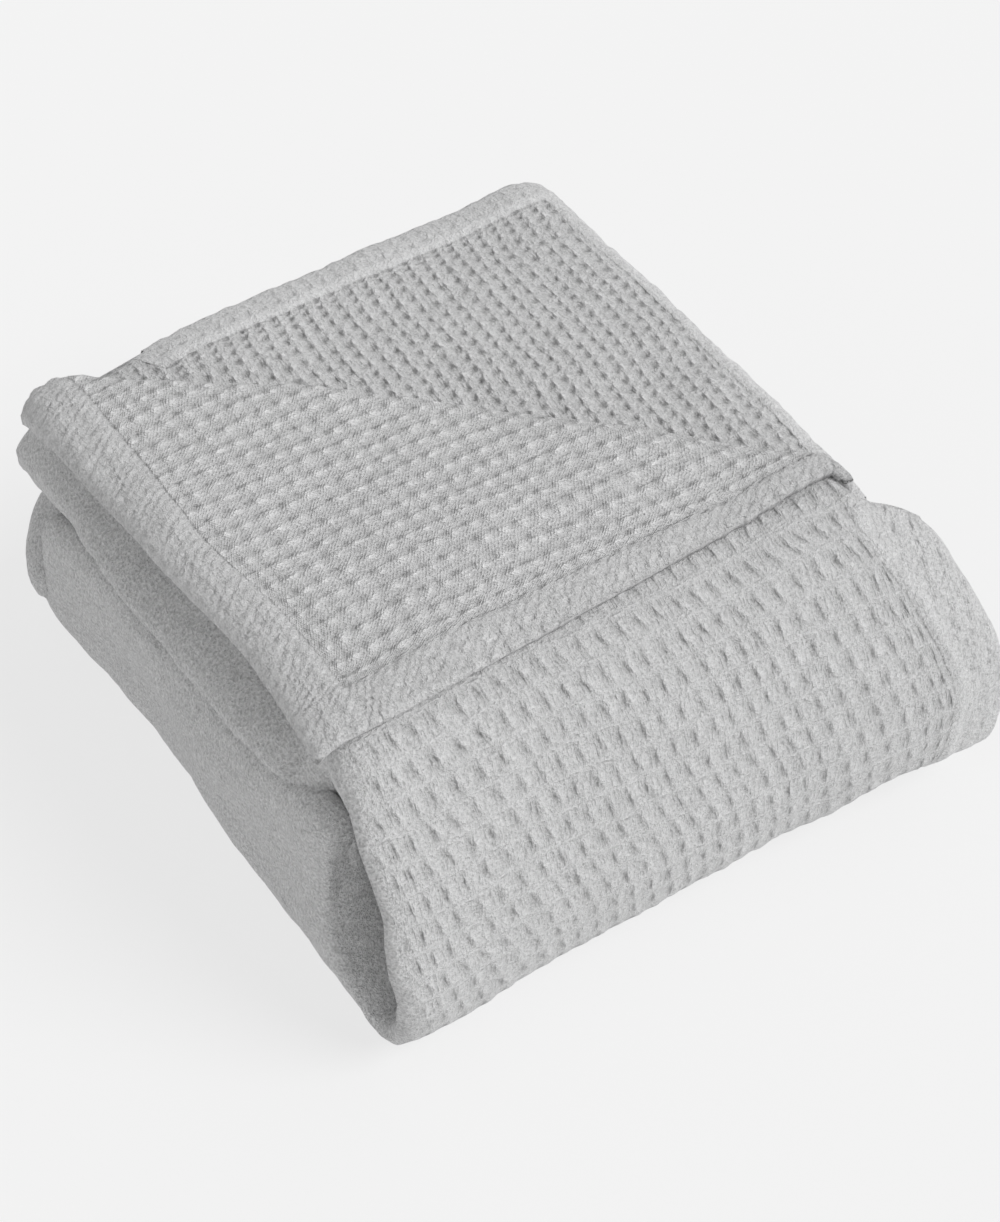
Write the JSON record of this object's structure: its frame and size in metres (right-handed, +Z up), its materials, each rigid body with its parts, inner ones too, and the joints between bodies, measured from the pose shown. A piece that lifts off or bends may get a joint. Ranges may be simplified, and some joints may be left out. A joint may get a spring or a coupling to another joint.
{
  "type": "folded waffle weave cotton blanket",
  "caption": "Light grey waffle weave cotton blanket, folded into a thick stack with one corner turned back to show its reverse and hems.",
  "frame": {"origin": "middle of the underside of the folded blanket's box", "axes": "+Z up from the surface that it rests on, +X to the right along the rounded front edge, +Y to the back"},
  "size_m": [0.4026, 0.4568, 0.2194],
  "materials": {
    "cotton": "matt waffle weave"
  },
  "bodies": {
    "root": {"blanket": "cotton"}
  },
  "joints": []
}
